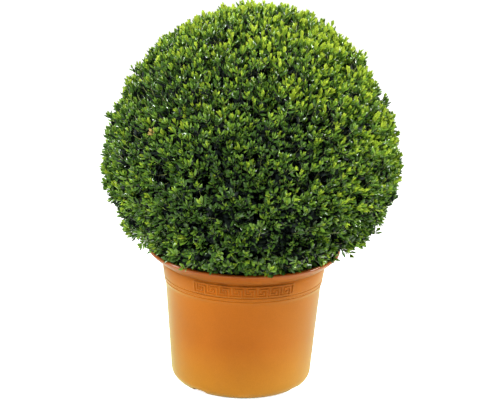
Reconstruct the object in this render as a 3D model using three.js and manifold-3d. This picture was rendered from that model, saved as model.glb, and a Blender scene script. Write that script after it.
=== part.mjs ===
// A clipped box ball growing in a round nursery pot with a flared lip.
// Millimetres, +Z up. The origin is on the ground, on the pot's axis, and -Y is the front.

import * as THREE from 'three';
import { mergeVertices } from 'three/addons/utils/BufferGeometryUtils.js';
import Module from 'manifold-3d';

// Clipped ball
const ballRadius = 294; // at its waist, before the unevenness
const waistHeight = 432;
const crestHeight = 763;
const hemRadius = 225; // lowest ring of its skirt
const hemRise = 18; // from the pot's lip up to that ring
const domeFullness = 0.6; // how far the dome rises upright from the waist, as a share of its height
const crestFullness = 0.5; // how far the crest stays level, as a share of the radius
const hemFlare = 25; // degrees from upright at which the skirt leaves the hem
const hemFullness = 110; // length of that straight run
const waistFullness = 45; // how far the skirt hangs upright below the waist
const crestCalm = 0.5; // the unevenness fades inside this share of the radius
const lipClearance = 1.5;
const lipLap = 5; // its underside runs level for this far to each side of the lip's edge
const mouthDip = 14; // how far its underside dips below the lip, inside the pot
const dipShoulder = 10; // depth of the dip at its shoulder
const shoulderReach = 5; // from the pot's inner neck out to that shoulder
const dipInset = 12; // from the pot's inner neck in to the dip's foot
const ballOffset = 7; // the ball sits this far to +X of the pot's axis
const ballLean = 0.017; // and leans on by this much for each unit of height
const unevenness = 4; // how far a fuller spray stands out, or a thinner one in
const sprayLobes = 130;
const lobeWidth = 0.16; // of one fuller or thinner place, in radians
const ballSides = 56;
const ballRings = 28; // from hem to crest

// Nursery pot
const footRadius = 120.5;
const cornerRadius = 21.5;
const cornerTurn = 85; // degrees, from the flat foot up to the tapered side
const cornerSteps = 5;
const bodyTopRadius = 156.5;
const bodyTop = 205;
const collarFoot = 211; // the collar stands proud of the body above this height
const collarRadius = 159.3;
const neckRadius = 164.5; // where the collar turns out into the lip
const neckHeight = 248.5;
const lipRadius = 192;
const lipSweep = 0.62; // how far out the lip has run where its curve is fullest
const lipRise = 11; // and how high it stands there, over the neck
const lipSteps = 5;
const potHeight = 276;
const wall = 3;
const floorThickness = 12;
const potSides = 60;
const drainCount = 4; // channels across the foot's edge, each with a hole above it
const drainWidth = 35;
const drainDepth = 9.5;
const drainTurn = 53; // degrees, from +X to the first channel
const drainInner = 84; // where a channel starts, from the axis
const drainHoleRadius = 5;
const drainHoleSides = 12;

// Compost and stem
const compostLevel = 238;
const compostCrown = 3; // the compost rises this much towards the stem
const shoulderShare = 0.6; // the compost is level out to this share of its radius
const shoulderFall = 0.4; // and has fallen by this share of its crown there
const crownReach = 1.4; // the crown's flat top, in foot radii of the stem
const stemFootRadius = 24; // over the root flare
const stemRadius = 14;
const stemTipRadius = 9;
const stemTop = 455;
const flareHeight = 34;
const stemLean = 0.03;
const fluteCount = 5;
const fluteDepth = 0.1; // at the root flare, as a share of the radius
const ringCrowding = 1.5; // rings stand closer at the root flare
const stemSides = 20;
const stemRings = 14;
const gap = 0.3; // between solids that touch

const finishes = {
  leaves: { color: 0x3d6b1c, roughness: 0.55, metalness: 0 },
  terracottaPlastic: { color: 0xcb7a2c, roughness: 0.45, metalness: 0 },
  compost: { color: 0x35261b, roughness: 0.95, metalness: 0 },
  bark: { color: 0x8a7458, roughness: 0.85, metalness: 0 },
};

const wasm = await Module();
wasm.setup();

// Solids

function toSolid(geometry) {
  const bare = geometry.index ? geometry.toNonIndexed() : geometry.clone();
  bare.deleteAttribute('normal');
  bare.deleteAttribute('uv');
  const merged = mergeVertices(bare, 1e-4);
  return new wasm.Manifold(new wasm.Mesh({
    numProp: 3,
    vertProperties: Float32Array.from(merged.attributes.position.array),
    triVerts: Uint32Array.from(merged.index.array),
  }));
}

function toGeometry(solid) {
  const found = solid.getMesh();
  const geometry = new THREE.BufferGeometry();
  const positions = new Float32Array(found.numVert * 3);
  for (let i = 0; i < found.numVert; i += 1) {
    for (let k = 0; k < 3; k += 1) {
      positions[i * 3 + k] = found.vertProperties[i * found.numProp + k];
    }
  }
  geometry.setAttribute('position', new THREE.BufferAttribute(positions, 3));
  geometry.setIndex(Array.from(found.triVerts));
  geometry.computeVertexNormals();
  return geometry;
}

// A closed skin over rings of equal count, with a fan from the first and the last centre.
function skinOf(rings, lowCentre, highCentre) {
  const sides = rings[0].length;
  const points = [lowCentre, ...rings.flat(), highCentre];
  const at = (ring, side) => 1 + ring * sides + (side % sides);
  const faces = [];
  for (let side = 0; side < sides; side += 1) {
    faces.push(0, at(0, side + 1), at(0, side));
    for (let ring = 0; ring + 1 < rings.length; ring += 1) {
      faces.push(at(ring, side), at(ring, side + 1), at(ring + 1, side + 1));
      faces.push(at(ring, side), at(ring + 1, side + 1), at(ring + 1, side));
    }
    faces.push(points.length - 1, at(rings.length - 1, side), at(rings.length - 1, side + 1));
  }
  const geometry = new THREE.BufferGeometry().setFromPoints(points);
  geometry.setIndex(faces);
  return geometry;
}

// A profile of (radius, height) points turned about the Z axis.
function turned(profile, sides) {
  return new THREE.LatheGeometry(profile, sides).rotateX(Math.PI / 2);
}

function seededNumbers(seed) {
  let state = seed;
  return () => {
    state = (state * 1664525 + 1013904223) % 4294967296;
    return state / 4294967296;
  };
}

// Pot

// The pot's side from the corner to the lip, moved inwards by an offset.
function potSide(offset, low) {
  const corner = [];
  const reach = cornerRadius - offset / 2;
  for (let i = 0; i <= cornerSteps; i += 1) {
    const angle = (i / cornerSteps) * THREE.MathUtils.degToRad(cornerTurn);
    corner.push(new THREE.Vector2(
      footRadius - offset / 2 + reach * Math.sin(angle),
      low + reach * (1 - Math.cos(angle)),
    ));
  }
  const collar = [
    new THREE.Vector2(bodyTopRadius - offset, bodyTop),
    new THREE.Vector2(collarRadius - offset, collarFoot),
    new THREE.Vector2(neckRadius - offset, neckHeight),
  ];
  const fullest = THREE.MathUtils.lerp(neckRadius, lipRadius, lipSweep);
  const flare = new THREE.QuadraticBezierCurve(
    new THREE.Vector2(neckRadius - offset, neckHeight),
    new THREE.Vector2(fullest - offset, neckHeight + lipRise + offset),
    new THREE.Vector2(lipRadius - offset, potHeight - wall / 2),
  );
  return [...corner, ...collar, ...flare.getPoints(lipSteps).slice(1)];
}

function makePot() {
  const outside = potSide(0, 0);
  const inside = potSide(wall, floorThickness).reverse();
  const rim = new THREE.Vector2(lipRadius - wall / 2, potHeight);
  const profile = [
    new THREE.Vector2(0, 0), ...outside, rim, ...inside, new THREE.Vector2(0, floorThickness),
  ];
  let pot = toSolid(turned(profile, potSides));
  for (let i = 0; i < drainCount; i += 1) {
    const length = footRadius + cornerRadius - drainInner;
    const channel = new THREE.BoxGeometry(length, drainWidth, 2 * drainDepth);
    channel.translate(drainInner + length / 2, 0, 0);
    const depth = 4 * floorThickness;
    const hole = new THREE.CylinderGeometry(drainHoleRadius, drainHoleRadius, depth, drainHoleSides);
    hole.rotateX(Math.PI / 2).translate(drainInner + 2 * drainHoleRadius, 0, 0);
    for (const cutter of [channel, hole]) {
      cutter.rotateZ(THREE.MathUtils.degToRad(drainTurn) + (i / drainCount) * 2 * Math.PI);
      pot = pot.subtract(toSolid(cutter));
    }
  }
  return toGeometry(pot);
}

// Compost

function makeCompost() {
  const level = compostLevel - compostCrown;
  const side = potSide(wall + gap, floorThickness + gap).filter((point) => point.y < level);
  const below = side[side.length - 1];
  const along = (level - below.y) / (neckHeight - below.y);
  const edge = THREE.MathUtils.lerp(below.x, neckRadius - wall - gap, along);
  const profile = [
    new THREE.Vector2(0, floorThickness + gap),
    ...side,
    new THREE.Vector2(edge, level),
    new THREE.Vector2(edge * shoulderShare, compostLevel - compostCrown * shoulderFall),
    new THREE.Vector2(stemFootRadius * crownReach, compostLevel),
    new THREE.Vector2(0, compostLevel),
  ];
  return toGeometry(toSolid(turned(profile, potSides)));
}

// Stem

function stemRadiusAt(height) {
  const flare = Math.max(0, 1 - height / flareHeight);
  const along = height / (stemTop - compostLevel);
  return THREE.MathUtils.lerp(stemRadius, stemTipRadius, along)
    + (stemFootRadius - stemRadius) * flare * flare;
}

// Flutes at the root flare fade out up the stem. clearance widens it for the bore through the ball.
function stemSolid(clearance) {
  const length = stemTop - compostLevel - gap + clearance;
  const rings = [];
  for (let ring = 0; ring < stemRings; ring += 1) {
    const height = length * (ring / (stemRings - 1)) ** ringCrowding;
    const fluting = fluteDepth * Math.exp(-height / flareHeight);
    rings.push(Array.from({ length: stemSides }, (_, side) => {
      const angle = (side / stemSides) * 2 * Math.PI;
      const radius = stemRadiusAt(height) * (1 + fluting * Math.cos(fluteCount * angle)) + clearance;
      return new THREE.Vector3(
        radius * Math.cos(angle) + stemLean * height,
        radius * Math.sin(angle),
        compostLevel + gap + height,
      );
    }));
  }
  const low = new THREE.Vector3(0, 0, compostLevel + gap);
  const high = new THREE.Vector3(stemLean * length, 0, compostLevel + gap + length);
  return toSolid(skinOf(rings, low, high));
}

// Ball

// Fuller and thinner places, each a smooth lobe about its own direction.
const pick = seededNumbers(21);
const lobes = Array.from({ length: sprayLobes }, () => {
  const height = 2 * pick() - 1;
  const angle = 2 * Math.PI * pick();
  const flat = Math.sqrt(1 - height * height);
  return {
    towards: new THREE.Vector3(flat * Math.cos(angle), flat * Math.sin(angle), height),
    rise: (2 * pick() - 1) * unevenness,
  };
});

function unevennessAt(direction) {
  const sharpness = 1 / (lobeWidth * lobeWidth);
  return lobes.reduce(
    (sum, lobe) => sum + lobe.rise * Math.exp(sharpness * (direction.dot(lobe.towards) - 1)),
    0,
  );
}

// Half of the ball's outline as (radius, height) points: a skirt that runs in almost straight
// to the pot, and a rounded dome.
function ballOutline(rings) {
  const flare = THREE.MathUtils.degToRad(hemFlare);
  const hem = new THREE.Vector2(hemRadius, potHeight + hemRise);
  const waist = new THREE.Vector2(ballRadius, waistHeight);
  const dome = crestHeight - waistHeight;
  const outline = new THREE.CurvePath();
  outline.add(new THREE.CubicBezierCurve(
    hem,
    new THREE.Vector2(hem.x + hemFullness * Math.sin(flare), hem.y + hemFullness * Math.cos(flare)),
    new THREE.Vector2(waist.x, waist.y - waistFullness),
    waist,
  ));
  outline.add(new THREE.CubicBezierCurve(
    waist,
    new THREE.Vector2(waist.x, waist.y + domeFullness * dome),
    new THREE.Vector2(crestFullness * waist.x, crestHeight),
    new THREE.Vector2(0, crestHeight),
  ));
  return outline.getSpacedPoints(rings).slice(0, rings);
}

function makeBall() {
  const ringOf = (radiusAt, height) => Array.from({ length: ballSides }, (_, side) => {
    const angle = (side / ballSides) * 2 * Math.PI;
    const radius = radiusAt(angle);
    const lean = ballOffset + ballLean * (height - waistHeight);
    return new THREE.Vector3(radius * Math.cos(angle) + lean, radius * Math.sin(angle), height);
  });
  const outside = ballOutline(ballRings).map((point) => ringOf((angle) => {
    const towards = new THREE.Vector3(
      point.x * Math.cos(angle),
      point.x * Math.sin(angle),
      point.y - waistHeight,
    );
    const share = Math.min(1, point.x / (crestCalm * ballRadius));
    return point.x + unevennessAt(towards.normalize()) * share;
  }, point.y));
  // The underside runs in from the hem over the lip, and dips into the pot's mouth.
  const mouth = neckRadius - wall;
  const underside = [
    [mouth - dipInset, potHeight - mouthDip],
    [mouth + shoulderReach, potHeight - dipShoulder],
    [lipRadius - lipLap, potHeight + lipClearance],
    [lipRadius + lipLap, potHeight + lipClearance],
  ].map(([radius, height]) => ringOf(() => radius, height));
  const low = new THREE.Vector3(ballOffset, 0, underside[0][0].z);
  const high = new THREE.Vector3(
    ballOffset + ballLean * (crestHeight - waistHeight),
    0,
    crestHeight + unevennessAt(new THREE.Vector3(0, 0, 1)),
  );
  const ball = toSolid(skinOf([...underside, ...outside], low, high));
  return toGeometry(ball.subtract(stemSolid(gap)));
}

// Assembly

function named(name, geometry, finish) {
  const mesh = new THREE.Mesh(geometry, new THREE.MeshStandardMaterial(finishes[finish]));
  mesh.name = name;
  return mesh;
}

const topiary = new THREE.Group();
topiary.add(named('pot', makePot(), 'terracottaPlastic'));
topiary.add(named('compost', makeCompost(), 'compost'));
topiary.add(named('stem', toGeometry(stemSolid(0)), 'bark'));
topiary.add(named('leaf_ball', makeBall(), 'leaves'));

export default topiary;
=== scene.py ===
import math
import bmesh
import bpy
import numpy as np
from mathutils import Matrix, Vector
from mathutils.bvhtree import BVHTree


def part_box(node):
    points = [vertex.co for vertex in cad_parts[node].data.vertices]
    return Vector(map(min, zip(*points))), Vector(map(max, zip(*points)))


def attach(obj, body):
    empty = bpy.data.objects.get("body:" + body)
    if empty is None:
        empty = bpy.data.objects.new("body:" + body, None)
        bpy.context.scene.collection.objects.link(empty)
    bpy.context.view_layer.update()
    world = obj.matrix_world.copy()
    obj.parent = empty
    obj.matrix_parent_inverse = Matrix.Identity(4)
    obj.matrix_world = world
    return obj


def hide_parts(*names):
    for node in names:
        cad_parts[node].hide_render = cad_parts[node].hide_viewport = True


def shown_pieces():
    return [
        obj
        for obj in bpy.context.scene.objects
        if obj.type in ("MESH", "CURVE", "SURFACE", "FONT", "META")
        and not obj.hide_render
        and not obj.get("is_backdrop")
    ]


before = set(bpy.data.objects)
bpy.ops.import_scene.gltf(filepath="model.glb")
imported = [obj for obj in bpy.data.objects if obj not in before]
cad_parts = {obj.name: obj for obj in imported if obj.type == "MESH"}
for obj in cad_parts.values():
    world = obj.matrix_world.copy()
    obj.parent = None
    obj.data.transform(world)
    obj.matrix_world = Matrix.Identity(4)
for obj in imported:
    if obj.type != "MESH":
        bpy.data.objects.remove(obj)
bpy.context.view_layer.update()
scene = bpy.context.scene
scene.view_settings.view_transform = "Standard"
fullTurn = 2 * math.pi


def feed(node, inputs):
    # an input is a value, a socket to link, or a node whose first output is linked
    for key, value in inputs.items():
        if isinstance(value, bpy.types.Node):
            value = value.outputs[0]
        if isinstance(value, bpy.types.NodeSocket):
            node.id_data.links.new(value, node.inputs[key])
        else:
            node.inputs[key].default_value = value
    return node


def addNode(tree, kind, inputs=None, **settings):
    node = tree.nodes.new(kind)
    for key, value in settings.items():
        setattr(node, key, value)
    return feed(node, inputs or {})


def maths(tree, operation, *values):
    return addNode(tree, "ShaderNodeMath", dict(enumerate(values)), operation=operation)


def ramp(tree, value, start, stop, low=0.0, high=1.0, **settings):
    # a value's range from start to stop, laid out from low to high
    return addNode(tree, "ShaderNodeMapRange", {
        "Value": value, "From Min": start, "From Max": stop, "To Min": low, "To Max": high},
        **settings)


def newMaterial(name, values):
    material = bpy.data.materials.new(name)
    material.use_nodes = True
    tree = material.node_tree
    return material, tree, feed(tree.nodes["Principled BSDF"], values)


def newGroup(name, kind, inputs, outputs):
    # a node group with named sockets, what it is given and its last node
    tree = bpy.data.node_groups.new(name, kind + "NodeTree")
    for side, sockets in (("INPUT", inputs), ("OUTPUT", outputs)):
        for label, socketKind in sockets:
            tree.interface.new_socket(label, in_out=side, socket_type="NodeSocket" + socketKind)
    return tree, tree.nodes.new("NodeGroupInput").outputs, tree.nodes.new("NodeGroupOutput")


def shapeGroup(name, inputs):
    return newGroup(name, "Geometry", [("Geometry", "Geometry"), *inputs],
                    [("Geometry", "Geometry")])


def endGroup(tree, geometry, given, end):
    # what a group makes ends as plain smooth meshes in the finish that it was given
    real = addNode(tree, "GeometryNodeRealizeInstances", {"Geometry": geometry})
    smooth = addNode(tree, "GeometryNodeSetShadeSmooth", {"Geometry": real})
    painted = addNode(tree, "GeometryNodeSetMaterial", {
        "Geometry": smooth, "Material": given["Finish"]})
    feed(end, {"Geometry": painted})


def addObject(name, data, hidden=False):
    thing = bpy.data.objects.new(name, data)
    scene.collection.objects.link(thing)
    thing.hide_render = hidden
    return thing


def makePlain(thing):
    # the object takes the plain mesh that its modifiers make, and they are taken off
    graph = bpy.context.evaluated_depsgraph_get()
    thing.data = bpy.data.meshes.new_from_object(thing.evaluated_get(graph), depsgraph=graph)
    thing.data.name = thing.name
    thing.modifiers.clear()


def grown(name, mesh, tree, values):
    # a new object with what the tree makes of the mesh
    thing = addObject(name, mesh)
    modifier = thing.modifiers.new("grow", "NODES")
    modifier.node_group = tree
    for socket in tree.interface.items_tree:
        if socket.in_out == "INPUT" and socket.name in values:
            modifier[socket.identifier] = values[socket.name]
    makePlain(thing)
    return thing


def meshFrom(name, points, edges=(), faces=()):
    mesh = bpy.data.meshes.new(name)
    mesh.from_pydata([tuple(map(float, point)) for point in points], list(edges), list(faces))
    mesh.update()
    return mesh


def pointMesh(name, points, attributes):
    mesh = meshFrom(name, points)
    for label, values in attributes.items():
        layer = mesh.attributes.new(label, "FLOAT_VECTOR", "POINT")
        layer.data.foreach_set("vector", np.asarray(values, dtype=np.float32).ravel())
    return mesh


def tubeFaces(rings, sides, base=0):
    # the faces of a tube from ring to ring of points, after the two that close its ends
    last = base + (rings - 1) * sides
    faces = [tuple(range(base, base + sides))[::-1], tuple(range(last, last + sides))]
    for low in range(base, last, sides):
        for side in range(sides):
            after = (side + 1) % sides
            faces.append((low + side, low + after, low + sides + after, low + sides + side))
    return faces


def curved(start, middle, end, count):
    t = np.linspace(0, 1, count)[:, None]
    return start * (1 - t) ** 2 + 2 * middle * t * (1 - t) + end * t * t


def polar(reach, angle, height):
    return reach * np.cos(angle), reach * np.sin(angle), height


def recalculated(mesh):
    work = bmesh.new()
    work.from_mesh(mesh)
    bmesh.ops.remove_doubles(work, verts=work.verts, dist=1e-6)
    bmesh.ops.recalc_face_normals(work, faces=work.faces)
    work.to_mesh(mesh)
    work.free()


def smoothed(mesh, sharpAngle):
    mesh.shade_smooth()
    mesh.set_sharp_from_angle(angle=math.radians(sharpAngle))


def discard(*things):
    for thing in things:
        bpy.data.objects.remove(thing)


def unit(vectors):
    return vectors / np.linalg.norm(vectors, axis=-1, keepdims=True).clip(1e-9)


def finishPiece(thing, slot, *nodes):
    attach(thing, "root")
    if nodes:
        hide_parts(*nodes)


cameraSetup = {
    "target": (0.0086, 0.0, 0.3709),
    "distance": 2.6,
    "elevation": 15.13,  # degrees above the horizon
    "roll": 1.75,
    "lens": 94.25,
    "sensor": 36.0,
}


def makeCamera(setup):
    data = bpy.data.cameras.new("camera")
    data.lens = setup["lens"]
    data.sensor_width = setup["sensor"]
    camera = addObject("camera", data)
    camera.matrix_world = (
        Matrix.Translation(setup["target"])
        @ Matrix.Rotation(math.radians(90 - setup["elevation"]), 4, "X")
        @ Matrix.Rotation(math.radians(setup["roll"]), 4, "Z")
        @ Matrix.Translation((0, 0, setup["distance"])))
    scene.camera = camera


makeCamera(cameraSetup)
print("camera ready")

studio = {
    "floorColour": (0.85, 0.85, 0.85, 1),
    "floorGlow": 0.86,  # for the camera only: the floor runs out into the white room
    "floorRoughness": 0.9,
    "floorSize": 40.0,
    "backdrop": (1.0, 1.0, 1.0, 1),
    "room": (0.04, 0.56),  # light from the dim side and from the white sweep
    "roomSpan": (-0.35, 0.75),  # where, along Y, the one turns into the other
    "boxes": [  # place, size, watts, colour
        ((0.6, -0.2, 2.5), 0.7, 20, (1.0, 0.985, 0.95)),
        ((-2.0, -0.1, 1.35), 0.7, 49, (1.0, 1.0, 1.0)),
        ((2.05, 0.1, 1.35), 0.7, 82, (1.0, 1.0, 0.97)),
        ((-0.8, -2.2, 2.2), 0.55, 84, (1.0, 1.0, 1.0)),
    ],
    "aim": (0.0, 0.0, 0.42),
}


def makeFloor(setup):
    half = setup["floorSize"] / 2
    corners = [(-half, -half, 0), (half, -half, 0), (half, half, 0), (-half, half, 0)]
    floor = addObject("floor", meshFrom("floor", corners, faces=[(0, 1, 2, 3)]))
    material, tree, shader = newMaterial("paleFloor", {
        "Roughness": setup["floorRoughness"], "Base Color": setup["floorColour"],
        "Emission Color": setup["backdrop"]})
    seen = addNode(tree, "ShaderNodeLightPath").outputs["Is Camera Ray"]
    feed(shader, {"Emission Strength": maths(tree, "MULTIPLY", seen, setup["floorGlow"])})
    floor.data.materials.append(material)
    floor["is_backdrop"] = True


def makeRoom(setup):
    world = bpy.data.worlds.new("studio")
    scene.world = world
    world.use_nodes = True
    tree = world.node_tree
    tree.nodes.clear()
    ray = addNode(tree, "ShaderNodeLightPath")
    place = addNode(tree, "ShaderNodeTexCoord").outputs["Generated"]
    ahead = addNode(tree, "ShaderNodeSeparateXYZ", {0: place}).outputs["Y"]
    level = ramp(tree, ahead, *setup["roomSpan"], *setup["room"], interpolation_type="SMOOTHSTEP")
    room = addNode(tree, "ShaderNodeBackground", {"Color": setup["backdrop"], "Strength": level})
    seen = addNode(tree, "ShaderNodeBackground", {"Color": setup["backdrop"], "Strength": 1.0})
    mix = addNode(tree, "ShaderNodeMixShader", {
        0: ray.outputs["Is Camera Ray"], 1: room, 2: seen})
    addNode(tree, "ShaderNodeOutputWorld", {"Surface": mix})


def makeSoftboxes(setup):
    for number, (place, size, watts, colour) in enumerate(setup["boxes"]):
        data = bpy.data.lights.new("softbox%d" % number, "AREA")
        data.shape = "SQUARE"
        data.size = size
        data.energy = watts
        data.color = colour
        lamp = addObject(data.name, data)
        lamp.location = place
        aim = Vector(setup["aim"]) - Vector(place)
        lamp.rotation_euler = aim.to_track_quat("-Z", "Y").to_euler()


makeFloor(studio)
makeRoom(studio)
makeSoftboxes(studio)
print("studio ready")


def mixed(tree, share, first, second):
    colours = addNode(tree, "ShaderNodeMix", {"Factor": share, 6: first, 7: second},
                      data_type="RGBA")
    return colours.outputs[2]


mottleShape = {
    "cloud": (4.0, 0.6), "speck": (2.0, 0.5),  # detail and roughness of the two patterns
    "contrast": (0.35, 0.65),
}


def makeMottle(shape):
    # two tones mixed by coarse clouds and fine specks, with a height for the bump
    tree, given, end = newGroup("mottle", "Shader", [
        ("Light", "Color"), ("Dark", "Color"), ("Cloud Scale", "Float"),
        ("Speck Scale", "Float"), ("Speck Share", "Float"),
    ], [("Color", "Color"), ("Height", "Float"), ("Mask", "Float")])
    place = addNode(tree, "ShaderNodeTexCoord").outputs["Object"]
    cloud, speck = (addNode(tree, "ShaderNodeTexNoise", {
        "Vector": place, "Scale": given[scale], "Detail": shape[key][0],
        "Roughness": shape[key][1]}).outputs["Fac"]
        for key, scale in (("cloud", "Cloud Scale"), ("speck", "Speck Scale")))
    both = addNode(tree, "ShaderNodeMix", {"Factor": given["Speck Share"], 2: cloud, 3: speck})
    spread = ramp(tree, both, *shape["contrast"])
    feed(end, {"Color": mixed(tree, spread, given["Dark"], given["Light"]),
               "Height": speck, "Mask": spread})
    return tree


mottleGroup = makeMottle(mottleShape)


def mottled(name, finish):
    material, tree, shader = newMaterial(name, {})
    group = addNode(tree, "ShaderNodeGroup", {
        "Light": finish["light"], "Dark": finish["dark"], "Cloud Scale": finish["cloudScale"],
        "Speck Scale": finish["speckScale"], "Speck Share": finish["speckShare"],
    }, node_tree=mottleGroup)
    relief = addNode(tree, "ShaderNodeBump", {
        "Height": group.outputs["Height"], "Strength": finish["bump"],
        "Distance": finish["depth"]})
    feed(shader, {
        "Base Color": group.outputs["Color"], "Normal": relief,
        "Roughness": ramp(tree, group.outputs["Mask"], 0.0, 1.0, *finish["roughness"])})
    return material, tree, shader, group


potShape = {
    "sides": 256, "sharpAngle": 38.0,
    "footRadius": 0.1205, "corner": 0.0215, "cornerTurn": 85.0, "cornerSteps": 10,
    "bodyTop": (0.1565, 0.2050), "bodySteps": (0.25, 0.5, 0.75, 0.96),
    "collarFoot": (0.1593, 0.2115), "neck": (0.1645, 0.2485),
    "lineHeight": 0.2190,  # the fine groove under the key band
    "bandFoot": 0.2214, "bandTop": 0.2446,  # the key pattern stands between these heights
    # steps and grooves, each as radius and height from its own place on the wall
    "stepEdge": ((0.0001, -0.0012), (0.0006, 0.0006)),
    "collarEdge": ((-0.0004, -0.0024), (-0.0002, -0.0012), (-0.0011, -0.0004),
                   (-0.0011, 0.0004), (0.0, 0.0012)),
    "lineEdge": ((0.0, -0.0014), (-0.0011, -0.0005), (-0.0011, 0.0005), (0.0, 0.0013)),
    "neckEdge": ((-0.0003, -0.0024), (-0.000525, -0.00198), (-0.0007, -0.0009),
                 (-0.00056, 0.00045)),
    "lipRadius": 0.1920, "height": 0.2760, "lipSteps": 12, "lipSweep": 0.62, "lipRise": 0.011,
    "lipStart": 0.0014, "lipEnd": (0.0012, 0.0052),  # from the neck, and to the bead
    "bead": 0.0034, "beadTurn": (-25.0, 170.0), "beadSteps": 10,
    "wall": 0.003, "floor": 0.012,
    "drains": 4, "drainTurn": 53.0, "drainWidth": 0.035, "drainHeight": 0.0095,
    "drainArch": ((1.0, 0.55), (0.86, 0.88), (0.6, 1.0)),  # shares of half width and height
    "drainInner": 0.084, "drainHole": 0.005, "holeSides": 20, "cutterSpan": (-0.01, 0.03),
}
potFinish = {
    "light": (0.360, 0.096, 0.0030, 1), "dark": (0.300, 0.078, 0.0020, 1),
    "cloudScale": 9.0, "speckScale": 420.0, "speckShare": 0.45,
    "roughness": (0.30, 0.40), "bump": 0.25, "depth": 0.0004,
    "gloss": 0.06, "coat": (0.06, 0.80), "coatRoughness": 0.10,
    "coatRise": (0.2705, 0.2735),  # only the bead of the lip is polished
    # the paler look of the plastic seen aslant
    "bloom": 0.37, "bloomRoughness": 0.45, "bloomTint": (0.48, 1.0, 0.34, 1),
    # painted light: the lower pot is painted paler and yellower, as the bounce from the floor
    "footBounceLight": (0.425, 0.170, 0.011, 1), "footBounceDark": (0.370, 0.146, 0.009, 1),
    "foot": (0.115, 0.0),  # the colour pales between these heights
}
# painted shade: the sheet in the key pattern's recesses is redder and duller than the pot, as the
# shade between the raised lines
keyGroundShadeFinish = dict(
    potFinish, light=(0.440, 0.106, 0.0028, 1), dark=(0.385, 0.090, 0.0018, 1),
    speckShare=0.8, roughness=(0.45, 0.60), coat=(0.0, 0.0), bloom=0.20)
# painted shade: the lip above the neck is darker and redder, as the shade of the crown over it
shadedLipFinish = dict(
    potFinish, light=(0.335, 0.070, 0.0025, 1), dark=(0.285, 0.058, 0.0018, 1),
    bloom=0.16, coat=(0.04, 0.7), coatRoughness=0.05)


def collarRadius(height):
    low, high = potShape["collarFoot"], potShape["neck"]
    return low[0] + (high[0] - low[0]) * (height - low[1]) / (high[1] - low[1])


def potProfile(shape):
    points = [(0.0, 0.0), (shape["drainInner"], 0.0)]
    for step in range(shape["cornerSteps"] + 1):
        angle = math.radians(shape["cornerTurn"]) * step / shape["cornerSteps"]
        points.append((shape["footRadius"] + shape["corner"] * math.sin(angle),
                       shape["corner"] * (1 - math.cos(angle))))
    low, top, line, wall = points[-1], shape["bodyTop"], shape["lineHeight"], shape["wall"]
    for share in shape["bodySteps"]:
        points.append((low[0] + (top[0] - low[0]) * share, low[1] + (top[1] - low[1]) * share))
    for (radius, height), edge in ((top, "stepEdge"), (shape["collarFoot"], "collarEdge")):
        points += [(radius + out, height + rise) for out, rise in shape[edge]]
    points += [(collarRadius(line + rise) + out, line + rise) for out, rise in shape["lineEdge"]]
    radius, height = shape["neck"]
    points += [(radius + out, height + rise) for out, rise in shape["neckEdge"]]
    # the lip flares out to a round bead, and its inside follows a wall further in
    points += lipCurve(shape, 0.0)[1:]
    bead = shape["bead"]
    centre = (shape["lipRadius"] - bead, shape["height"] - bead)
    first, last = shape["beadTurn"]
    for step in range(shape["beadSteps"] + 1):
        angle = math.radians(first + (last - first) * step / shape["beadSteps"])
        points.append((centre[0] + bead * math.cos(angle), centre[1] + bead * math.sin(angle)))
    points += lipCurve(shape, wall)[::-1][1:]
    points += [
        (collarRadius(shape["bandFoot"]) - wall, shape["bandFoot"]),
        (top[0] - wall, top[1]),
        (low[0] - wall, low[1]),
        (shape["footRadius"], shape["floor"]),
        (0.0, shape["floor"]),
    ]
    return points


def lipCurve(shape, wall):
    (radius, height), lip = shape["neck"], shape["lipRadius"]
    inset, drop = shape["lipEnd"]
    start = (radius - wall, height + shape["lipStart"])
    fullest = (radius + (lip - radius) * shape["lipSweep"] - wall,
               height + shape["lipRise"] + wall)
    end = (lip - inset - wall, shape["height"] - drop)
    return list(curved(*np.array([start, fullest, end]), shape["lipSteps"] + 1))


def turned(name, profile, sides):
    # a profile that starts and ends on the axis, turned about Z
    rings = profile[1:-1]
    points = [(0, 0, profile[0][1])]
    points += [polar(radius, fullTurn * side / sides, height)
               for radius, height in rings for side in range(sides)]
    points.append((0, 0, profile[-1][1]))
    faces = tubeFaces(len(rings), sides, 1)[2:]
    last = 1 + (len(rings) - 1) * sides
    for side in range(sides):
        after = (side + 1) % sides
        faces += [(0, 1 + after, 1 + side), (len(points) - 1, last + side, last + after)]
    return meshFrom(name, points, faces=faces)


def makeDrainCutters(shape):
    # one arched channel and one round hole for each drain
    points, faces = [], []
    under, above = shape["cutterSpan"]
    half, hole = shape["drainWidth"] / 2, shape["drainHole"]
    arch = [(half, under)]
    arch += [(half * out, shape["drainHeight"] * rise) for out, rise in shape["drainArch"]]
    arch += [(-y, z) for y, z in reversed(arch)]
    ends = (shape["drainInner"], shape["footRadius"] + 2 * shape["corner"])
    centre = shape["drainInner"] + 2 * hole
    turns = [fullTurn * side / shape["holeSides"] for side in range(shape["holeSides"])]
    for drain in range(shape["drains"]):
        angle = math.radians(shape["drainTurn"]) + fullTurn * drain / shape["drains"]
        turn = Matrix.Rotation(angle, 3, "Z")
        channel = [[(x, y, z) for y, z in arch] for x in ends]
        drilled = [[Vector((centre, 0, 0)) + Vector(polar(hole, side, z)) for side in turns]
                   for z in (under, above)]
        for low, high in (channel, drilled):
            faces += tubeFaces(2, len(low), len(points))
            points += [turn @ Vector(point) for point in low + high]
    mesh = meshFrom("drainCutters", points, faces=faces)
    recalculated(mesh)
    return mesh


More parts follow.
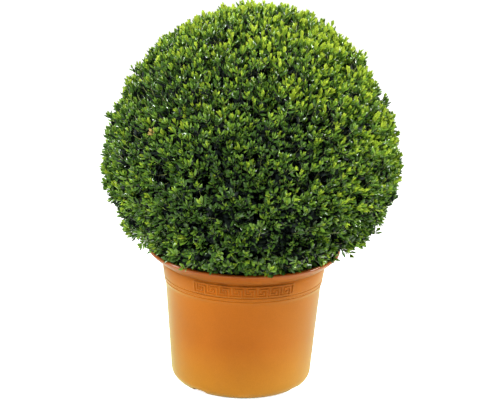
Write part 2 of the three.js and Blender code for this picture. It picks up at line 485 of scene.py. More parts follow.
def makePot(shape, bodyMaterial, shadedLipMaterial):
    pot = addObject("potShell", turned("potShell", potProfile(shape), shape["sides"]))
    cutters = addObject("drainCutters", makeDrainCutters(shape), hidden=True)
    cut = pot.modifiers.new("drains", "BOOLEAN")
    cut.operation = "DIFFERENCE"
    cut.solver = "MANIFOLD"
    cut.object = cutters
    makePlain(pot)
    discard(cutters)
    mesh = pot.data
    smoothed(mesh, shape["sharpAngle"])
    mesh.materials.clear()
    mesh.materials.append(bodyMaterial)
    mesh.materials.append(shadedLipMaterial)
    # faces above the neck take the lip's painted shade
    for face in mesh.polygons:
        face.material_index = int(face.center.z > shape["neck"][1])
    finishPiece(pot, "pot_plastic", "pot")


def plastic(name, finish):
    material, tree, shader, group = mottled(name, finish)
    place = addNode(tree, "ShaderNodeTexCoord").outputs["Object"]
    height = addNode(tree, "ShaderNodeSeparateXYZ", {0: place}).outputs["Z"]
    # the paler, yellower foot is painted light from the floor's bounce
    paintedBounce = ramp(tree, height, *finish["foot"])
    feed(group, {"Light": mixed(tree, paintedBounce, finish["light"], finish["footBounceLight"]),
                 "Dark": mixed(tree, paintedBounce, finish["dark"], finish["footBounceDark"])})
    feed(shader, {
        "Coat Weight": ramp(tree, height, *finish["coatRise"], *finish["coat"]),
        "Coat Roughness": finish["coatRoughness"], "Specular IOR Level": finish["gloss"],
        "Sheen Weight": finish["bloom"], "Sheen Roughness": finish["bloomRoughness"],
        "Sheen Tint": finish["bloomTint"]})
    return material


potMaterial = plastic("terracottaPlastic", potFinish)
keyGroundShadeMaterial = plastic("keyGroundPlastic", keyGroundShadeFinish)
makePot(potShape, potMaterial, plastic("lipPlastic", shadedLipFinish))
print("pot turned")

keyBand = {
    "panels": 2,
    "firstPanel": -89.35,  # degrees; the middle of the front panel
    "units": 8,
    "unitAngle": 8.6,
    "raise": 0.0017, "root": 0.0008, "bevel": 0.00030, "bevelSteps": 2, "sharpAngle": 35.0,
    "groundRise": 0.00025, "groundSteps": 60, "groundMargin": 0.0004,
    # one unit, from its foot row up: x is raised
    "unit": ["xxxxxxxx", "......x.", "xxxxx.x.", "x...x.x.", "x.x.x.x.", "x.x...x.",
             "x.xxxxx.", "x.......", "xxxxxxxx"],
    "closing": 3,  # columns besides the units: an upright and a gap first, an upright last
}


def keySpan(setup):
    # the columns of a panel, and its width as an angle
    columns = len(setup["unit"][0]) * setup["units"] + setup["closing"]
    return columns, math.radians(setup["unitAngle"]) / len(setup["unit"][0]) * columns


def makeKeyPanel(setup, shape):
    # raised cells in a flat grid, bevelled, then wrapped round the collar
    rows, cells = setup["unit"], []
    for row, unitRow in enumerate(rows):
        opening = "xx" if row in (0, len(rows) - 1) else "x."
        marks = opening + unitRow * setup["units"] + "x"
        cells += [(column, row) for column, mark in enumerate(marks) if mark == "x"]
    columns, width = keySpan(setup)
    low, high = shape["bandFoot"], shape["bandTop"]
    radius = collarRadius((low + high) / 2)
    points, faces, known = [], [], {}

    def corner(column, row, top):
        if (column, row, top) not in known:
            known[column, row, top] = len(points)
            points.append((column / columns * width * radius,
                           low + row / len(rows) * (high - low),
                           setup["raise"] if top else -setup["root"]))
        return known[column, row, top]

    for column, row in cells:
        ring = [(column, row), (column + 1, row), (column + 1, row + 1), (column, row + 1)]
        faces.append([corner(*spot, True) for spot in ring])
        faces.append([corner(*spot, False) for spot in reversed(ring)])
        for a, b, across, up in zip(ring, ring[1:] + ring[:1], (0, 1, 0, -1), (-1, 0, 1, 0)):
            if (column + across, row + up) not in cells:
                faces.append([corner(*a, False), corner(*b, False),
                              corner(*b, True), corner(*a, True)])
    panel = addObject("keyPanel", meshFrom("keyPanel", points, faces=faces), hidden=True)
    bevel = panel.modifiers.new("softEdge", "BEVEL")
    bevel.width = setup["bevel"]
    bevel.segments = setup["bevelSteps"]
    bevel.limit_method = "ANGLE"
    makePlain(panel)
    for vertex in panel.data.vertices:
        x, height, out = vertex.co
        vertex.co = polar(collarRadius(height) + out, x / radius - width / 2, height)
    recalculated(panel.data)
    return panel


def makeKeyGround(setup, shape):
    # the sunk ground between the raised lines: a sheet whose redder, duller finish paints the
    # shade in the recesses
    margin, steps = setup["groundMargin"], setup["groundSteps"]
    half = keySpan(setup)[1] / 2 - margin / shape["neck"][0]
    low, high = shape["bandFoot"] + margin, shape["bandTop"] - margin
    out, root = setup["groundRise"], -setup["root"]
    points = [polar(collarRadius(height) + rise, half * (2 * step / steps - 1), height)
              for step in range(steps + 1)
              for height, rise in ((low, out), (high, out), (high, root), (low, root))]
    mesh = meshFrom("keyGround", points, faces=tubeFaces(steps + 1, 4))
    recalculated(mesh)
    return addObject("keyGround", mesh, hidden=True)


def makeRoundTree():
    # copies of one object turned about the Z axis
    tree, given, end = shapeGroup("turnedCopies", [
        ("Piece", "Object"), ("Count", "Int"), ("First Angle", "Float"), ("Finish", "Material")])
    points = addNode(tree, "GeometryNodeMeshLine", {"Count": given["Count"], "Offset": (0, 0, 0)})
    index = addNode(tree, "GeometryNodeInputIndex")
    step = maths(tree, "DIVIDE", fullTurn, given["Count"])
    angle = maths(tree, "MULTIPLY_ADD", index, step, given["First Angle"])
    turn = addNode(tree, "FunctionNodeAxisAngleToRotation", {"Angle": angle})
    piece = addNode(tree, "GeometryNodeObjectInfo", {"Object": given["Piece"]})
    copies = addNode(tree, "GeometryNodeInstanceOnPoints", {
        "Points": points, "Instance": piece.outputs["Geometry"], "Rotation": turn})
    endGroup(tree, copies, given, end)
    return tree


roundTree = makeRoundTree()


def makeKeyBand(setup, name, panel, material):
    band = grown(name, meshFrom(name + "Source", [(0, 0, 0)]), roundTree, {
        "Piece": panel, "Count": setup["panels"],
        "First Angle": math.radians(setup["firstPanel"]), "Finish": material})
    smoothed(band.data, setup["sharpAngle"])
    discard(panel)
    finishPiece(band, "pot_plastic")


makeKeyBand(keyBand, "keyBand", makeKeyPanel(keyBand, potShape), potMaterial)
makeKeyBand(keyBand, "keyGrounds", makeKeyGround(keyBand, potShape), keyGroundShadeMaterial)
print("key band ready")

noiseShape = {"waves": 24, "pitch": 1.9, "level": 2.2}


def placeNoise(points, size, seed):
    # a smooth random field, mostly from -1 to 1, in patches of about this size
    dice = np.random.default_rng(seed)
    count = noiseShape["waves"]
    waves = dice.normal(size=(count, 3)) * (noiseShape["pitch"] / size)
    phases = dice.uniform(0, fullTurn, count)
    total = np.cos(points @ waves.T + phases).sum(axis=1)
    return total / math.sqrt(count / 2) / noiseShape["level"]


def makeScatterTree():
    # one object on each point, turned and sized by the points' own attributes
    tree, given, end = shapeGroup("scatter", [("Piece", "Object"), ("Finish", "Material")])
    turn, size = (addNode(tree, "GeometryNodeInputNamedAttribute", {"Name": name},
                          data_type="FLOAT_VECTOR") for name in ("turn", "size"))
    spin = addNode(tree, "FunctionNodeEulerToRotation", {0: turn})
    piece = addNode(tree, "GeometryNodeObjectInfo", {"Object": given["Piece"]})
    copies = addNode(tree, "GeometryNodeInstanceOnPoints", {
        "Points": given["Geometry"], "Instance": piece.outputs["Geometry"],
        "Rotation": spin, "Scale": size})
    endGroup(tree, copies, given, end)
    return tree


scatterTree = makeScatterTree()

compostShape = {
    "sides": 96, "rings": 26, "low": 0.0123, "crown": 0.003, "crownPower": 1.5,
    "side": ((0.1200, 0.0123), (0.1365, 0.0240), (0.1500, 0.1700)),
    "clump": 0.0016, "clumpSize": 0.012, "clumpSeed": 3, "clumpDepth": 0.004,
    "crumbs": 1400, "crumb": (0.0012, 0.0038), "crumbStretch": (0.6, 1.3), "seed": 5,
    "crumbDepth": 0.0028, "crumbInset": 0.003, "crumbFrom": 0.02,
    "lump": (0.28, 5.1),  # how far and how quickly a crumb's corners go in and out
}
compostFinish = {
    "light": (0.060, 0.036, 0.020, 1), "dark": (0.016, 0.010, 0.006, 1),
    "cloudScale": 60.0, "speckScale": 900.0, "speckShare": 0.6,
    "roughness": (0.85, 0.95), "bump": 0.7, "depth": 0.0012,
}


def makeCrumb(shape):
    crumb = bpy.data.meshes.new("crumb")
    far, often = shape["lump"]
    work = bmesh.new()
    bmesh.ops.create_icosphere(work, subdivisions=1, radius=0.5)
    for number, vertex in enumerate(work.verts):
        vertex.co *= 1 + far * math.sin(often * number)
    work.to_mesh(crumb)
    work.free()
    return addObject("crumb", crumb, hidden=True)


def makeCompost(shape, material):
    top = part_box("compost")[1]
    radius = top[0]
    profile = [(0.0, shape["low"]), *shape["side"]]
    profile += [(radius * (1 - t), top[2] - shape["crown"] * (1 - t) ** shape["crownPower"])
                for t in np.linspace(0, 1, shape["rings"])]
    mesh = turned("compostBed", profile, shape["sides"])
    points = np.array([vertex.co[:] for vertex in mesh.vertices])
    lift = placeNoise(points, shape["clumpSize"], shape["clumpSeed"]) * shape["clump"]
    onTop = points[:, 2] > top[2] - shape["clumpDepth"]
    points[onTop, 2] += lift[onTop] - shape["clump"]
    mesh.vertices.foreach_set("co", points.ravel())
    mesh.shade_smooth()
    mesh.materials.append(material)
    finishPiece(addObject("compostBed", mesh), "compost", "compost")
    dice = np.random.default_rng(shape["seed"])
    count = shape["crumbs"]
    reach = (radius - shape["crumbInset"]) * np.sqrt(dice.uniform(shape["crumbFrom"], 1, count))
    angle = dice.uniform(0, fullTurn, count)
    height = np.full(count, top[2] - shape["crumbDepth"])
    spots = np.stack(polar(reach, angle, height), axis=1)
    spotMesh = pointMesh("crumbSpots", spots, {
        "turn": dice.uniform(0, fullTurn, (count, 3)),
        "size": (dice.uniform(*shape["crumb"], (count, 1))
                 * dice.uniform(*shape["crumbStretch"], (count, 3))),
    })
    piece = makeCrumb(shape)
    crumbs = grown("crumbs", spotMesh, scatterTree, {"Piece": piece, "Finish": material})
    discard(piece)
    finishPiece(crumbs, "compost")


makeCompost(compostShape, mottled("moistCompost", compostFinish)[0])
print("compost filled")

growth = {
    "seed": 17,
    "spacing": 0.0111, "mostTips": 40000.0,  # between shoot tips, and how many a square metre
    "tipDepth": 0.0108,  # of a shoot's tip under the ball's surface, where its leaves end
    "tipScatter": 0.0050,
    "shift": 0.002,  # the crown leans on to the right
    "patch": 0.048,  # size of the patches of young growth and of hollows
    "freshSeed": 31, "hollowSeed": 77, "hemSeed": 55,
    "hollowScatter": 0.5, "sunkShare": 0.29, "sunkDepth": (0.010, 0.028),
    "strayShare": 0.03, "strayReach": (0.004, 0.010),
    "skirt": 0.16,  # the lowest part of the ball, where more shoots stray
    "skirtStrays": 0.28, "skirtReach": (0.006, 0.018),
    "strayMost": 0.007,  # no shoot ends further out of the ball than this
    # old leaves deep in the ball carry its painted shade
    "oldShadedOut": 0.001,  # nor does an old dark leaf
    "upturn": (0.50, 1.50),  # at the hem and at the crest
    "wander": 0.27, "bend": 0.45,
    "hemTurn": -0.55, "hemDepth": 0.004,  # shoots on faces turned further down keep level
    "hemHeight": (0.0090, 0.0290),  # over the pot's lip, at the front and at the sides
    "hemPower": 1.6, "hemOver": 0.005, "mouthDrop": 0.008,
    "hemSpots": (-0.014, -0.008, 0.006, 0.030),  # in over the lip, along it and out from it
    "hemSlack": 0.0070, "hemWaves": ((0.030, 0.8), (0.011, 2.2)),  # patch size and share
    "mouthInset": 0.024, "mouthRise": 0.03, "wallGap": 0.02,
    "bore": (0.045, 0.01),  # radius and rise of the room kept free round the stem
}


def makeTipTree(setup):
    # evenly spread points with the surface's own direction
    tree, given, end = shapeGroup("shootTips", [("Spacing", "Float"), ("Seed", "Int")])
    spread = addNode(tree, "GeometryNodeDistributePointsOnFaces", {
        "Mesh": given["Geometry"], "Distance Min": given["Spacing"],
        "Density Max": setup["mostTips"], "Seed": given["Seed"]}, distribute_method="POISSON")
    kept = addNode(tree, "GeometryNodeStoreNamedAttribute", {
        "Geometry": spread.outputs["Points"], "Name": "outward",
        "Value": spread.outputs["Normal"]}, data_type="FLOAT_VECTOR", domain="POINT")
    points = addNode(tree, "GeometryNodePointsToVertices", {"Points": kept})
    feed(end, {"Geometry": points})
    return tree


def hemHeights(points, setup):
    # the lowest that foliage may hang: in the pot's mouth, over its lip and outside it
    reach = np.hypot(points[:, 0], points[:, 1]).clip(1e-6)
    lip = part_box("pot")[1]
    front, side = setup["hemHeight"]
    clipped = front + (side - front) * (np.abs(points[:, 0]) / reach) ** setup["hemPower"]
    spots = [lip[0] + spot for spot in setup["hemSpots"]]
    over = np.interp(reach, spots, [0, 1, 1, 0])
    outer = np.interp(reach, spots[2:], [0, 1])
    return (lip[2] - setup["mouthDrop"] * (1 - over - outer) + setup["hemOver"] * over
            + clipped * outer)


def findTips(setup):
    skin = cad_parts["leaf_ball"].data.copy()
    recalculated(skin)
    source = grown("ballSkin", skin, makeTipTree(setup), {
        "Spacing": setup["spacing"], "Seed": setup["seed"]})
    mesh = source.data
    discard(source)
    points, normals = np.zeros((2, len(mesh.vertices) * 3), dtype=np.float32)
    mesh.vertices.foreach_get("co", points)
    mesh.attributes["outward"].data.foreach_get("vector", normals)
    points, normals = (flat.reshape(-1, 3).astype(float) for flat in (points, normals))
    reach = np.hypot(points[:, 0], points[:, 1])
    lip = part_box("pot")[1]
    # nothing grows on the faces round the stem and down in the pot's mouth
    keep = points[:, 2] > hemHeights(points, setup)
    keep &= ~((reach < lip[0] - setup["mouthInset"])
              & (points[:, 2] < lip[2] + setup["mouthRise"]))
    wide, rise = setup["bore"]
    keep &= ~((reach < wide) & (points[:, 2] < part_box("stem")[1][2] + rise))
    return points[keep], unit(normals)[keep]


tips, outward = findTips(growth)
print("shoot tips", len(tips))

limbShape = {  # radius at foot and tip, points along the limb, sides
    "bough": (0.0078, 0.0048, 10, 10),
    "branch": (0.0044, 0.0026, 7, 7),
    "twig": (0.0022, 0.0013, 5, 5),
    "shoot": (0.0009, 0.0005, 4, 3),
}
forkRule = {  # limbs at a fork, reach towards their tips, sag, and where they leave the limb
    "bough": (13, 0.42, 0.10, None),
    "branch": (6, 0.50, 0.08, (0.55, 1.0)),
    "twig": (6, 0.58, 0.06, (0.5, 1.0)),
}
branching = {
    "rounds": 7,  # of moving each group's centre
    "shake": 0.02,
    "stemLean": 0.03,
    "stemShare": (1.15, 0.08, 0.97),  # how a bough's height on the stem follows its tips
    "shootFrom": (0.3, 1.0),
}
dice = np.random.default_rng(growth["seed"])
limbs = {kind: [] for kind in limbShape}
stemLow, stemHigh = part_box("stem")
stemFoot = np.array([0.0, 0.0, stemLow[2]])
stemTip = np.array([branching["stemLean"] * (stemHigh[2] - stemLow[2]), 0.0, stemHigh[2]])


def sharedOut(points, count):
    # groups of near points, each round its own centre
    count = min(count, len(points))
    centres = points[dice.choice(len(points), count, replace=False)]
    for _ in range(branching["rounds"]):
        gaps = ((points[:, None, :] - centres[None, :, :]) ** 2).sum(axis=2)
        owner = gaps.argmin(axis=1)
        groups = [np.flatnonzero(owner == group) for group in range(count)]
        for group, members in enumerate(groups):
            if len(members):
                centres[group] = points[members].mean(axis=0)
    return [members for members in groups if len(members)]


def onLine(line, share):
    spot = share * (len(line) - 1)
    step = min(int(spot), len(line) - 2)
    return line[step] + (line[step + 1] - line[step]) * (spot - step)


def onStem(goal):
    low, high = tips[:, 2].min(), tips[:, 2].max()
    steep, least, most = branching["stemShare"]
    share = np.clip((goal[2] - low) / (high - low) * steep, least, 1.0)
    return stemFoot + (stemTip - stemFoot) * share * most


def growOn(line, members, order, shootStart):
    # the branching rule: each limb forks to share out the tips that it feeds
    count, reach, sag, leaves = forkRule[order[0]]
    for group in sharedOut(tips[members], count):
        mine = members[group]
        goal = tips[mine].mean(axis=0)
        start = onLine(line, dice.uniform(*leaves)) if leaves else onStem(goal)
        end = start + (goal - start) * reach
        length = np.linalg.norm(end - start)
        middle = (start + end) / 2 - np.array([0, 0, sag * length])
        limb = curved(start, middle, end, limbShape[order[0]][2])
        limb[1:-1] += dice.normal(scale=branching["shake"] * length, size=limb[1:-1].shape)
        limbs[order[0]].append(limb)
        if order[1:]:
            growOn(limb, mine, order[1:], shootStart)
            continue
        for tip in mine:
            shootStart[tip] = onLine(limb, dice.uniform(*branching["shootFrom"]))


shootStart = np.zeros_like(tips)
growOn(None, np.arange(len(tips)), list(forkRule), shootStart)
print("limbs grown", {kind: len(lines) for kind, lines in limbs.items()})

# leaves stand in opposite pairs up each shoot
leafRule = {
    "pairs": (5, 7),
    "spread": (13, 20, 27, 34, 40, 46, 52),  # degrees from the shoot, for each pair from the tip
    "from": (0.0, 0.0028, 0.0064, 0.0110, 0.0164, 0.0226, 0.0292),  # metres from the tip
    "length": (0.0086, 0.0118, 0.0138, 0.0150, 0.0154, 0.0152, 0.0146),
    "width": 0.39,
    # at the hem and what is taken off towards the crest: spread, then length
    "spreadFall": (1.12, 0.30), "lengthFall": (1.16, 0.20),
    "vigour": (0.86, 1.16), "lengthRange": (0.88, 1.12), "widthRange": (0.85, 1.15),
    "roundScatter": 0.22, "spreadScatter": 8, "tilt": 0.50,
}
toneRule = {
    "base": 0.125, "patch": 0.19, "scatter": 0.145,
    # young light growth towards the crest, partly real and partly painted light from above; more
    # of it to the right and at both sides is painted light, as the lamp on the right and the
    # light at the crown's edges
    "crest": (0.25, 0.20, 2.2), "sides": (0.44, 0.16, 3, 0.6),
    # painted shade: the lower pairs of each shoot are painted darker, as the shade down in the
    # sprays, and more so at the crest
    "tip": 0.07, "fall": 0.022, "crestContrast": 0.05,  # the light tips stand out more at the crest
    # painted shade: shoots sunk in hollows are darker; shoots that stray out into the light are
    # kept lighter
    "leafScatter": 0.06, "sunk": -0.16, "stray": 0.30,
    "least": (("deep", -0.30), ("mid", 0.14), ("fresh", 0.38), ("lime", 0.545)),
    "yellowShare": 0.0006, "yellowPairs": 4,
}
# painted shade: these old leaves take the dark kind, near-black and bluish, as the shadow deep in
# the crown
oldShadedLeaves = {  # along the twigs, and down on the shoots, where they close the view
    "twig": {"pairs": 7, "from": 0.25, "scatter": 0.002, "lean": 0.45, "toss": 0.0,
             "length": (0.012, 0.017), "width": 0.6},
    "shoot": {"pairs": 4, "from": 0.038, "step": 0.010, "scatter": 0.4, "lean": 0.5,
              "toss": 0.25, "length": (0.015, 0.020), "width": 0.62},
}
leafColours = {  # base colour, roughness and specular level of each kind, from the youngest
    "lime": ((0.45, 0.575, 0.052, 1), 0.28, 0.20),
    "fresh": ((0.300, 0.438, 0.038, 1), 0.20, 0.26),
    "mid": ((0.132, 0.244, 0.027, 1), 0.14, 0.35),
    "deep": ((0.052, 0.115, 0.020, 1), 0.12, 0.49),
    # painted shade: the dark kind is near-black and bluish, as the shadow between the shoots
    "dark": ((0.011, 0.018, 0.014, 1), 0.45, 0.12),
    "yellow": ((0.40, 0.30, 0.09, 1), 0.45, 0.2),
}
kinds = list(leafColours)
leaves = []  # sets of leaves: where they stand, their turn and size, their ends and kinds


def addLeaves(place, forward, upper, width, length, kind):
    side = unit(np.cross(forward, upper))
    turn = np.stack([side, forward, np.cross(side, forward)], axis=-1)  # columns X, Y, Z
    turn = np.stack([np.arctan2(turn[:, 2, 1], turn[:, 2, 2]),
                     -np.arcsin(np.clip(turn[:, 2, 0], -1, 1)),
                     np.arctan2(turn[:, 1, 0], turn[:, 0, 0])], axis=1)
    size = np.stack([width, length, length], axis=1)
    leaves.append((place, turn, size, place + forward * length[:, None], kind))


def shootFreshnessAndLight(rule):
    # how light each shoot is: random patches of young growth, and painted light towards the
    # crest, to the right and at both sides
    low, high = np.array(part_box("leaf_ball")[0]), np.array(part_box("leaf_ball")[1])
    x, _, z = ((tips - low) / (high - low)).T
    base, right, power = rule["crest"]
    gleam = (base + right * x) * z ** power
    right, left, narrow, power = rule["sides"]
    gleam += (right * x ** narrow + left * (1 - x) ** narrow) * z ** power
    patches = rule["patch"] * placeNoise(tips, growth["patch"], growth["freshSeed"])
    return rule["base"] + gleam + patches + dice.normal(scale=rule["scatter"], size=len(tips))


def shootEnds(setup, share):
    # where each shoot points and ends, and which are sunk into hollows or stray out
    count = len(tips)
    low, high = setup["upturn"]
    upturn = np.stack([0 * share, 0 * share, low + (high - low) * share], axis=1)
    under = outward[:, 2] < setup["hemTurn"]
    upturn[under, 2] = -outward[under, 2]
    axis = unit(outward + upturn + dice.normal(scale=setup["wander"], size=(count, 3)))
    depth = setup["tipDepth"] + dice.normal(scale=setup["tipScatter"], size=count)
    hollow = placeNoise(tips, setup["patch"], setup["hollowSeed"])
    hollow += dice.normal(scale=setup["hollowScatter"], size=count)
    sunk = hollow > np.quantile(hollow, 1 - setup["sunkShare"])
    depth[sunk] += dice.uniform(*setup["sunkDepth"], sunk.sum())
    skirt = share < setup["skirt"]
    strayShare = np.where(skirt, setup["skirtStrays"], setup["strayShare"])
    stray = dice.uniform(size=count) < strayShare
    for some, reach in ((stray & ~skirt, "strayReach"), (stray & skirt, "skirtReach")):
        depth[some] -= dice.uniform(*setup[reach], some.sum())
    depth = depth.clip(-setup["strayMost"])
    near = np.abs(dice.normal(scale=setup["tipScatter"], size=under.sum()))
    depth[under] = setup["hemDepth"] + near
    ends = tips - outward * depth[:, None] + np.array([setup["shift"], 0, 0])
    return axis, ends, sunk, stray


def growShoots(setup, rule, tones):
    count = len(tips)
    share = (tips[:, 2] - tips[:, 2].min()) / np.ptp(tips[:, 2])
    axis, ends, sunk, stray = shootEnds(setup, share)
    fresh = shootFreshnessAndLight(tones)
    # sunk shoots are painted darker, as the shade in the hollows; stray shoots out in the light
    # keep a lighter tone
    fresh[sunk] += tones["sunk"]
    fresh[stray] = np.maximum(fresh[stray], tones["stray"])
    vigour = dice.uniform(*rule["vigour"], count)
    pairs = dice.integers(rule["pairs"][0], rule["pairs"][1] + 1, count)
    first = dice.uniform(0, math.pi, count)
    across = unit(np.cross(axis, unit(dice.normal(size=(count, 3)))))
    other = np.cross(axis, across)
    bend = ends - axis * setup["bend"] * np.linalg.norm(ends - shootStart, axis=1)[:, None]
    for start, middle, end in zip(shootStart, bend, ends):
        limbs["shoot"].append(curved(start, middle, end, limbShape["shoot"][2]))
    for pair in range(rule["pairs"][1]):
        on = np.flatnonzero(pairs > pair)
        high = share[on]
        for opposite in (0, 1):
            angle = first[on] + (pair % 2) * math.pi / 2 + opposite * math.pi
            angle += dice.normal(scale=rule["roundScatter"], size=len(on))
            away = across[on] * np.cos(angle)[:, None] + other[on] * np.sin(angle)[:, None]
            most, fall = rule["spreadFall"]
            spread = rule["spread"][pair] * (most - fall * high)
            spread += dice.normal(scale=rule["spreadScatter"], size=len(on))
            spread = np.radians(spread)[:, None]
            forward = axis[on] * np.cos(spread) + away * np.sin(spread)
            upper = axis[on] * np.sin(spread) - away * np.cos(spread)
            upper = unit(upper + rule["tilt"] * dice.normal(size=upper.shape))
            most, fall = rule["lengthFall"]
            length = rule["length"][pair] * vigour[on] * (most - fall * high)
            length *= dice.uniform(*rule["lengthRange"], len(on))
            width = length * rule["width"] * dice.uniform(*rule["widthRange"], len(on))
            crestContrast = tones["crestContrast"] * high
            # the tip pair is lifted and the lower pairs are painted darker, as the shade down in
            # the spray
            tone = fresh[on] + (tones["tip"] + crestContrast) * (1 - pair) - tones["fall"] * pair ** 2
            tone += dice.normal(scale=tones["leafScatter"], size=len(on))
            kind = np.full(len(on), kinds.index("dark"))
            for name, least in tones["least"]:
                kind[tone > least] = kinds.index(name)
            addLeaves(ends[on] - axis[on] * rule["from"][pair], forward, upper, width, length,
                      kind)
    yellowed = dice.uniform(size=count) < tones["yellowShare"]
    for number in range(2 * tones["yellowPairs"]):
        on = np.flatnonzero(pairs > number // 2)
        leaves[number][-1][yellowed[on]] = kinds.index("yellow")


def addOldShadedPair(spot, axis, rule):
    across = unit(np.cross(axis, dice.normal(size=axis.shape)))
    for side in (1, -1):
        forward = axis * rule["lean"] + across * side
        if rule["toss"]:
            forward += rule["toss"] * dice.normal(size=axis.shape)
        upper = unit(axis - across * side * rule["lean"])
        length = dice.uniform(*rule["length"], len(axis))
        # each old leaf takes the dark kind, as painted shade
        addLeaves(spot, unit(forward), upper, length * rule["width"], length,
                  np.full(len(axis), kinds.index("dark")))


def growOldShadedLeaves(rules):
    lines, rule = np.array(limbs["twig"]), rules["twig"]
    count = len(lines)
    for pair in range(rule["pairs"]):
        along = (pair + dice.uniform(size=count)) / rule["pairs"]
        along = rule["from"] + (1 - rule["from"]) * along
        spot = np.array([onLine(line, share) for line, share in zip(lines, along)])
        shake = dice.normal(scale=rule["scatter"], size=(count, 3))
        addOldShadedPair(spot, unit(lines[:, -1] - lines[:, -2] + shake), rule)
    lines, rule = np.array(limbs["shoot"]), rules["shoot"]
    axis, scatter = unit(lines[:, -1] - lines[:, -2]), rule["scatter"]
    for pair in range(rule["pairs"]):
        down = pair + dice.uniform(-scatter, scatter, len(lines))
        down = rule["from"] + rule["step"] * down
        addOldShadedPair(lines[:, -1] - axis * down[:, None], axis, rule)


leafShape = {
    # heights up the rib, and points on the edge as height and half width
    "full": ((0.0, 0.30, 0.64, 1.0), ((0.19, 0.27), (0.51, 0.50), (0.83, 0.29))),
    "simple": ((0.0, 0.5, 1.0), ((0.30, 0.44), (0.74, 0.40))),
    # outline, fold along the rib and curl of each form
    "young": ("full", 0.36, -0.10), "grown": ("full", -0.40, 0.36),
    "inner": ("simple", -0.16, 0.22),
}
leafForms = {"lime": "young", "fresh": "young", "dark": "inner"}  # the others are grown
pieceLimit = 190000  # triangles


def makeLeaf(form):
    # one unit long and wide, with one edge point fewer than rib points on each side
    outline, fold, curl = leafShape[form]
    rib, edge = leafShape[outline]
    points = [(0, along) for along in rib]
    points += [(side * across, along) for side in (1, -1) for along, across in edge]
    points = [(x, y, fold * abs(x) - curl * y * y + 0.5 * curl * y) for x, y in points]
    faces = []
    for side, base in ((1, len(rib)), (-1, len(rib) + len(edge))):
        loop = [(0, base, 1)]
        for step in range(len(edge) - 1):
            loop += [(step + 1, base + step, base + step + 1),
                     (step + 1, base + step + 1, step + 2)]
        faces += loop if side == 1 else [tuple(reversed(face)) for face in loop]
    return addObject(form + "Leaf", meshFrom(form + "Leaf", points, faces=faces), hidden=True)


def outOfBall(points):
    # how far each point stands out of the clipped ball
    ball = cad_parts["leaf_ball"].data
    skin = BVHTree.FromPolygons([vertex.co for vertex in ball.vertices],
                                [face.vertices for face in ball.polygons])
    gaps = []
    for point in points:
        near, normal, _, _ = skin.find_nearest(point)
        gaps.append((Vector(point) - near).dot(normal))
    return np.array(gaps)


def clippedOff(place, end, kind, setup):
    # the hem is clipped, not quite evenly, and the old leaves in painted shade stay in the ball
    oldShaded = kind == kinds.index("dark")
    slack = np.ones(len(place))
    for number, (size, part) in enumerate(setup["hemWaves"]):
        slack += part * placeNoise(place, size, setup["hemSeed"] + number)
    slack = setup["hemSlack"] * slack.clip(0)
    slack[oldShaded] = 0
    off = np.minimum(place[:, 2], end[:, 2]) < hemHeights(place, setup) - slack
    off &= np.hypot(place[:, 0], place[:, 1]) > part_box("compost")[1][0] - setup["wallGap"]
    off[oldShaded] |= outOfBall(end[oldShaded]) > setup["oldShadedOut"]
    return off


def makeLeaves():
    place, turn, size, end, kind = (np.concatenate(sets) for sets in zip(*leaves))
    kind[clippedOff(place, end, kind, growth)] = -1
    forms = {form: makeLeaf(form) for form in ("young", "grown", "inner")}
    for number, name in enumerate(kinds):
        colour, roughness, gloss = leafColours[name]
        material = newMaterial("leaf_" + name, {
            "Base Color": colour, "Roughness": roughness, "Specular IOR Level": gloss})[0]
        mine = np.flatnonzero(kind == number)
        form = forms[leafForms.get(name, "grown")]
        most = pieceLimit // len(form.data.polygons)
        for part, first in enumerate(range(0, len(mine), most)):
            chosen = mine[first:first + most]
            spots = pointMesh("leafSpots", place[chosen], {
                "turn": turn[chosen], "size": size[chosen]})
            piece = grown("leaves_%s_%d" % (name, part + 1), spots, scatterTree, {
                "Piece": form, "Finish": material})
            finishPiece(piece, "foliage", "leaf_ball")
        print("leaves", name, len(mine))
    discard(*forms.values())


growShoots(growth, leafRule, toneRule)
growOldShadedLeaves(oldShadedLeaves)
makeLeaves()

stemWood = {
    "foot": 0.024, "low": 0.014, "tip": 0.009, "flare": 0.034, "flutes": 5, "fluteDepth": 0.10,
    "rings": 120, "ringPower": 1.3, "sides": 48, "sharpAngle": 60.0,
    "barkDepth": 0.0016, "barkRange": (0.5, 0.4),  # how much of it stands out and lies in
    "furrow": 0.010, "furrowStretch": (0.014, 0.22),  # round the stem and along it
    "furrows": ((1, 0.6, 9), (3, 0.4, 10)),  # how many times finer, share, seed
}
barkFinish = {
    "light": (0.33, 0.25, 0.15, 1), "dark": (0.12, 0.085, 0.05, 1),
    "cloudScale": 70.0, "speckScale": 600.0, "speckShare": 0.5,
    "roughness": (0.75, 0.92), "bump": 0.6, "depth": 0.0008,
}
twigFinish = {
    "light": (0.26, 0.25, 0.09, 1), "dark": (0.14, 0.12, 0.05, 1),
    "cloudScale": 90.0, "speckScale": 800.0, "speckShare": 0.4,
    "roughness": (0.55, 0.7), "bump": 0.3, "depth": 0.0004,
}
barkMaterial = mottled("boxBark", barkFinish)[0]
twigMaterial = mottled("youngBark", twigFinish)[0]
shootMaterial = newMaterial("greenShoot", {
    "Roughness": 0.5, "Base Color": (0.36, 0.42, 0.12, 1)})[0]
limbPieces = [  # name, kind of limb, depth and scale of the bark's relief, finish
    ("boughs", "bough", 0.0016, 260.0, barkMaterial),
    ("branches", "branch", 0.0009, 400.0, barkMaterial),
    ("twigs", "twig", 0.0003, 600.0, twigMaterial),
    ("shoots", "shoot", 0.0, 600.0, shootMaterial),
]


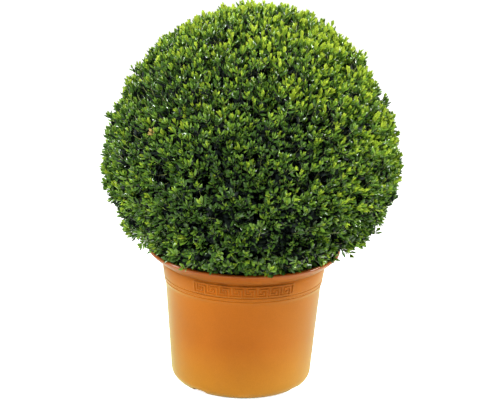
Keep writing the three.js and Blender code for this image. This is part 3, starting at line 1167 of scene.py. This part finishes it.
def makeStem(wood, material):
    # a tapering trunk with a fluted root flare and bark that splits along its length
    length, sides, rings = stemTip[2] - stemFoot[2], wood["sides"], wood["rings"]
    height = np.repeat(length * np.linspace(0, 1, rings) ** wood["ringPower"], sides)
    angle = np.tile(fullTurn * np.arange(sides) / sides, rings)
    reach = wood["low"] + (wood["tip"] - wood["low"]) * height / length
    reach += (wood["foot"] - wood["low"]) * (1 - height / wood["flare"]).clip(0) ** 2
    fluting = wood["fluteDepth"] * np.exp(-height / wood["flare"])
    reach *= 1 + fluting * np.cos(wood["flutes"] * angle)
    across, along = wood["furrowStretch"]
    spots = np.stack(polar(across, angle, height * along), axis=1)
    ridges = sum(placeNoise(spots, wood["furrow"] / finer, seed) * share
                 for finer, share, seed in wood["furrows"])
    out, inward = wood["barkRange"]
    reach += wood["barkDepth"] * (ridges * out - inward)
    points = np.stack(polar(reach, angle, stemFoot[2] + height), axis=1)
    points[:, 0] += branching["stemLean"] * height
    stem = addObject("stemWood", meshFrom("stemWood", points, faces=tubeFaces(rings, sides)))
    smoothed(stem.data, wood["sharpAngle"])
    stem.data.materials.append(material)
    finishPiece(stem, "bark", "stem")


def makeLimbTree():
    # a round limb along each line, with its bark pushed in and out
    tree, given, end = shapeGroup("limbWood", [
        ("Sides", "Int"), ("Bark Depth", "Float"), ("Bark Scale", "Float"),
        ("Finish", "Material")])
    radius = addNode(tree, "GeometryNodeInputNamedAttribute", {"Name": "radius"},
                     data_type="FLOAT")
    line = addNode(tree, "GeometryNodeMeshToCurve", {"Mesh": given["Geometry"]})
    ring = addNode(tree, "GeometryNodeCurvePrimitiveCircle", {
        "Resolution": given["Sides"], "Radius": 1.0})
    tube = addNode(tree, "GeometryNodeCurveToMesh", {
        "Curve": line, "Profile Curve": ring, "Scale": radius, "Fill Caps": True})
    place = addNode(tree, "GeometryNodeInputPosition")
    noise = addNode(tree, "ShaderNodeTexNoise", {"Vector": place, "Scale": given["Bark Scale"]})
    centred = maths(tree, "SUBTRACT", noise, 0.5)
    depth = maths(tree, "MULTIPLY", centred, given["Bark Depth"])
    normal = addNode(tree, "GeometryNodeInputNormal")
    push = addNode(tree, "ShaderNodeVectorMath", {0: normal, "Scale": depth}, operation="SCALE")
    rough = addNode(tree, "GeometryNodeSetPosition", {"Geometry": tube, "Offset": push})
    endGroup(tree, rough, given, end)
    return tree


limbTree = makeLimbTree()


def makeLimbs(name, kind, depth, scale, material):
    foot, tip, count, sides = limbShape[kind]
    points = np.concatenate(limbs[kind])
    edges = [(first + step, first + step + 1)
             for first in range(0, len(points), count) for step in range(count - 1)]
    lines = meshFrom(name, points, edges=edges)
    radius = lines.attributes.new("radius", "FLOAT", "POINT")
    radii = np.tile(np.linspace(foot, tip, count), len(limbs[kind]))
    radius.data.foreach_set("value", radii.astype(np.float32))
    finishPiece(grown(name, lines, limbTree, {
        "Sides": sides, "Bark Depth": depth, "Bark Scale": scale, "Finish": material}), "bark")


makeStem(stemWood, barkMaterial)
for row in limbPieces:
    makeLimbs(*row)
print("wood made")

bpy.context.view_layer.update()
triangles = {piece.name: sum(len(face.vertices) - 2 for face in piece.data.polygons)
             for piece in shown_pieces() if piece.type == "MESH"}
print("triangles", sum(triangles.values()), triangles)
